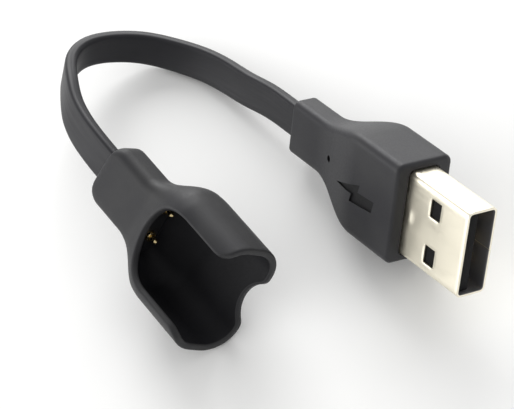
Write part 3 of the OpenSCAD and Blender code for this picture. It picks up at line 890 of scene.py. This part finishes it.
class LEAD_OT_cradle(bpy.types.Operator):
    """Model the cradle: its neck, flare and open-fronted pocket with the finger notch"""

    bl_idname = "lead.cradle"
    bl_label = "Cradle"

    def execute(self, context):
        c = millimetres(context.scene.lead_cradle)
        cable = millimetres(context.scene.lead_cable)
        cup = CupSurface(c)
        rim, step = c.rim_r, 0.3
        bm = bmesh.new()
        flat_grid(bm, spaced([-cup.full / 2, 0, cup.full / 2], step), spaced([c.seat_z, c.length + 0.3], step))
        # the map is laid out from the front's middle round to the front's middle
        for vert in bm.verts:
            vert.co.x += cup.full / 2

        def signed(x):
            return x if x <= cup.full / 2 else x - cup.full

        def inside(x, z):
            return cup.distance(signed(x), z)

        def outside(face):
            return sum(inside(v.co.x, v.co.y) for v in face.verts) / 4 < rim + 0.02

        bmesh.ops.delete(bm, geom=[f for f in bm.faces if outside(f)], context="FACES")
        bmesh.ops.delete(bm, geom=[v for v in bm.verts if not v.link_faces], context="VERTS")

        def on_cut(vert):
            return vert.is_boundary and vert.co.y > c.seat_z + 0.01 and inside(vert.co.x, vert.co.y) < 0.75

        cut = [v for v in bm.verts if on_cut(v)]
        seam = {v for v in bm.verts if v.co.x < 1e-4 or v.co.x > cup.full - 1e-4}
        for vert in cut:
            x, y = to_outline(inside, vert.co.x, vert.co.y, rim)
            vert.co.x, vert.co.y = (vert.co.x if vert in seam else x), y
        fixed = set(cut) | seam
        near = [
            v for v in bm.verts
            if v not in fixed and v.co.y > c.seat_z + 0.01 and inside(v.co.x, v.co.y) < rim + 4 * step
        ]
        for _ in range(6):
            bmesh.ops.smooth_vert(bm, verts=near, factor=0.5, use_axis_x=True, use_axis_y=True)

        # the inner skin is a copy of the outer one
        source = bm.verts[:] + bm.edges[:] + bm.faces[:]
        copied = bmesh.ops.duplicate(bm, geom=source)["vert_map"]
        outer = [v for v in source if isinstance(v, bmesh.types.BMVert)]
        spot = {v: (v.co.x, v.co.y) for v in outer}
        floor_row = sorted((v for v in outer if abs(v.co.y - c.seat_z) < 1e-4), key=lambda v: v.co.x)
        edge_pairs = [
            e.verts[:] for e in bm.edges
            if e.is_boundary and all(v in spot for v in e.verts)
            and not all(spot[v][1] < c.seat_z + 1e-4 for v in e.verts)
            and not all(v in seam for v in e.verts)
        ]
        for vert in outer:
            run, z = signed(spot[vert][0]), spot[vert][1]
            # the two sides of the seam meet at the front's middle
            vert.co = cup.point(run, z)
            copied[vert].co = vert.co + cup.inward(run, z) * c.wall

        # the rim: rounded on both edges, flat between them
        rim_verts = {v for pair in edge_pairs for v in pair}
        steps = {}
        for vert in rim_verts:
            x, z = spot[vert]
            g = slope(inside, x, z)
            qx, qz = x - g.x * rim, z - g.y * rim
            o, i = vert.co.copy(), copied[vert].co.copy()
            deep = (i - o).normalized()
            out = cup.point(signed(qx % cup.full), qz) - o
            turns = [math.radians(t) for t in (22.5, 45, 67.5, 90)]
            chain = [o + out * math.sin(t) + deep * rim * (1 - math.cos(t)) for t in turns]
            chain += [i + out * math.sin(t) - deep * rim * (1 - math.cos(t)) for t in reversed(turns)]
            steps[vert] = chain + [i]
        now = {v: v for v in rim_verts}
        edges = [bm.edges.get(pair) for pair in edge_pairs]
        for k in range(9):
            grown = bmesh.ops.extrude_edge_only(bm, edges=edges)["geom"]
            fresh = {item for item in grown if isinstance(item, bmesh.types.BMVert)}
            following = {}
            for origin, vert in now.items():
                twin = next(e.other_vert(vert) for e in vert.link_edges if e.other_vert(vert) in fresh)
                twin.co = steps[origin][k]
                following[origin] = twin
            edges = [bm.edges.get([following[v] for v in pair]) for pair in edge_pairs]
            now = following

        # the neck, outside: down to the rounded end and in to the cable
        slot = (cable.width / 2 + FIT, cable.thickness / 2 + FIT, cable.edge_r + FIT)
        hollow = (c.neck_w / 2 - 1.2, c.neck_t / 2 - 1.1, 0.1)
        room_back = 2.0

        def ring(a, b, r, z):
            whole = perimeter(a, b, r)
            points = []
            for v in floor_row:
                p, _ = around(a, b, r, signed(spot[v][0]) / cup.full * whole)
                points.append(Vector((p.x, p.y, z)))
            return points

        def surface_row(z):
            return [cup.point(signed(spot[v][0]), z) for v in floor_row]

        rows = [surface_row(z) for z in reversed(spaced([c.end_r, c.seat_z], 0.4)[:-1])]
        for k in range(1, 10):
            rows.append(surface_row(c.end_r * (1 - math.sin(math.pi / 2 * k / 9))))
        rows.append(ring(slot[0] + 0.1, slot[1] + 0.1, slot[2], 0.0))
        rows.append(ring(*slot, 0.15))
        row = floor_row
        for points in rows:
            row = extrude_row(bm, row)
            for vert, point in zip(row, points):
                vert.co = point

        # the pocket's floor, the room for the inner pieces and the cable's way in
        row = [copied[v] for v in floor_row]
        inner = set(copied[v] for v in outer)
        flat = [Vector((v.co.x * 0.96, v.co.y * 0.94, c.seat_z)) for v in row]
        rows = [flat, ring(*hollow, c.seat_z), ring(*hollow, room_back)]
        rows += [ring(*slot, room_back - 0.02), ring(*slot, 0.15)]
        for points in rows:
            row = extrude_row(bm, row)
            for vert, point in zip(row, points):
                vert.co = point
            inner.update(row)
        colours = context.scene.lead_colours
        plastic = moulded_plastic("spark_eroded_cradle_plastic", colours.cradle, colours.cradle_bloom, 0.52, shine=0.3)
        # faces inside the pocket take the second material, painted darker as shade
        for face in bm.faces:
            if all(v in inner for v in face.verts):
                face.material_index = 1
        piece = make_piece(
            bm, "cradle_body", cradle_frame(), plastic, "lead", ["cradle_shell"], sharp=38
        )
        # the inside of the pocket, its hollow and the cable's way in are painted darker as shade, with a flatter matte
        piece.data.materials.append(
            moulded_plastic("pocket_plastic_painted_shade", linear("131316"), linear("1A1A1D"), 0.62, 0.3, 0.2, 0.2)
        )
        return {"FINISHED"}


class LEAD_OT_pins(bpy.types.Operator):
    """Model the two sprung contact pins and their barrels"""

    bl_idname = "lead.pins"
    bl_label = "Contact pins"

    def execute(self, context):
        c = millimetres(context.scene.lead_cradle)
        place = cradle_frame()
        gold = plated_metal("gold_plated_pin", context.scene.lead_colours.gold, place, 0.2, 0.08)
        # where a barrel starts, its bore's floor and its front, and the tail and the lip at its two ends
        back, bore, front = c.seat_z - 4.6, c.seat_z - 4.2, c.seat_z + 0.5
        tail_l, tail_r, lip = 1.3, 0.3, 0.4
        run_gap = 0.05
        mouth = c.tip_r + run_gap
        for name, side in (("power", 1), ("ground", -1)):
            at = (side * c.pin_pitch / 2, 0, 0)
            barrel = [(0, back - tail_l), (tail_r - 0.1, back - tail_l), (tail_r, back - tail_l + 0.1), (tail_r, back)]
            barrel += [(c.barrel_r, back), (c.barrel_r, front - 0.12), (c.barrel_r - 0.04, front - 0.04)]
            barrel += [(c.barrel_r - 0.12, front), (mouth + 0.06, front), (mouth, front - 0.06), (mouth, front - lip)]
            barrel += [(c.bore_r, front - lip), (c.bore_r, bore), (0, bore)]
            bm = bmesh.new()
            turned_solid(bm, barrel, at)
            make_piece(bm, "barrel_" + name, place, gold, "lead", ["pin_barrel_" + name])
            head, top, wide = front - lip - run_gap, front + c.tip_out, c.bore_r - run_gap
            plunger = [(0, head - 1), (wide - 0.05, head - 1), (wide, head - 0.95)]
            plunger += [(wide, head - 0.04), (wide - 0.04, head), (c.tip_r, head)]
            plunger += [
                (c.tip_r * math.cos(math.radians(t)), top - c.tip_r + c.tip_r * math.sin(math.radians(t)))
                for t in range(0, 91, 10)
            ]
            plunger[-1] = (0, top)
            bm = bmesh.new()
            turned_solid(bm, plunger, at)
            make_piece(
                bm, "plunger_" + name, place, gold, "plunger_" + name, ["pin_plunger_" + name]
            )
        return {"FINISHED"}


# ---- the pieces inside ----


class LEAD_OT_inside(bpy.types.Operator):
    """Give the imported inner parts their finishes"""

    bl_idname = "lead.inside"
    bl_label = "Inner parts"

    def execute(self, context):
        colours = context.scene.lead_colours
        plug = plug_frame(millimetres(context.scene.lead_plug))
        gold = plated_metal("gold_plated_contact", colours.gold, plug, 0.22, 0.1)
        finishes = {
            "usb_contact_power": gold,
            "usb_contact_data_minus": gold,
            "usb_contact_data_plus": gold,
            "usb_contact_ground": gold,
            "usb_rear_shell": plated_metal("dull_nickel_plate", linear("BDBAB2"), plug, 0.32, 0.15),
            "usb_premould": moulded_plastic("hot_melt_inner_mould", linear("CFCBBF"), linear("DAD7CD"), 0.4, 0.5),
            "contact_block": moulded_plastic("moulded_black_housing", linear("151517"), linear("1C1C1E"), 0.42, 0.3),
            "contact_board": moulded_plastic("green_board_coating", linear("1E5A34"), linear("2A6B40"), 0.3, 0.4, 0.1),
            "usb_solder": plated_metal("bright_solder", linear("C9CBCE"), plug, 0.3, 0.4),
            "usb_wire_power": moulded_plastic("red_wire_sleeve", linear("A81F17"), linear("BC2B20"), 0.4, 0.4, 0.1),
            "usb_wire_ground": moulded_plastic("black_wire_sleeve", linear("1A1A1C"), linear("242426"), 0.4, 0.4, 0.1),
            "pin_spring_power": plated_metal("spring_steel_wire", linear("C4C4C8"), plug, 0.28, 0.1),
        }
        same = {
            "cradle_premould": "usb_premould",
            "cradle_solder": "usb_solder",
            "cradle_wire_power": "usb_wire_power",
            "cradle_wire_ground": "usb_wire_ground",
            "pin_spring_ground": "pin_spring_power",
        }
        for node, twin in same.items():
            finishes[node] = finishes[twin]
        for node, material in finishes.items():
            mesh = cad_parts[node].data
            if not mesh.materials:
                mesh.materials.append(material)
            for i in range(len(mesh.materials)):
                mesh.materials[i] = material
        return {"FINISHED"}


class LEAD_PT_panel(bpy.types.Panel):
    """The steps that build the lead, with its sizes and colours"""

    bl_idname = "LEAD_PT_panel"
    bl_label = "Charging lead"
    bl_space_type = "VIEW_3D"
    bl_region_type = "UI"
    bl_category = "Lead"

    def draw(self, context):
        for step in STEPS:
            self.layout.operator(step.bl_idname)
        for name in GROUPS:
            box = self.layout.box()
            group = getattr(context.scene, name)
            for key in group.__annotations__:
                box.prop(group, key)


GROUPS = {
    "lead_plug": LeadPlugSizes,
    "lead_cable": LeadCableSizes,
    "lead_cradle": LeadCradleSizes,
    "lead_colours": LeadColours,
}
STEPS = (
    LEAD_OT_stage,
    LEAD_OT_cable,
    LEAD_OT_shell,
    LEAD_OT_tongue,
    LEAD_OT_boot,
    LEAD_OT_cradle,
    LEAD_OT_pins,
    LEAD_OT_inside,
)


def register():
    for name, group in GROUPS.items():
        bpy.utils.register_class(group)
        setattr(bpy.types.Scene, name, bpy.props.PointerProperty(type=group))
    for step in STEPS:
        bpy.utils.register_class(step)
    bpy.utils.register_class(LEAD_PT_panel)


def unregister():
    bpy.utils.unregister_class(LEAD_PT_panel)
    for step in reversed(STEPS):
        bpy.utils.unregister_class(step)
    for name, group in GROUPS.items():
        delattr(bpy.types.Scene, name)
        bpy.utils.unregister_class(group)


def main():
    register()
    for step in STEPS:
        area, name = step.bl_idname.split(".")
        getattr(getattr(bpy.ops, area), name)()


if __name__ == "__main__":
    main()
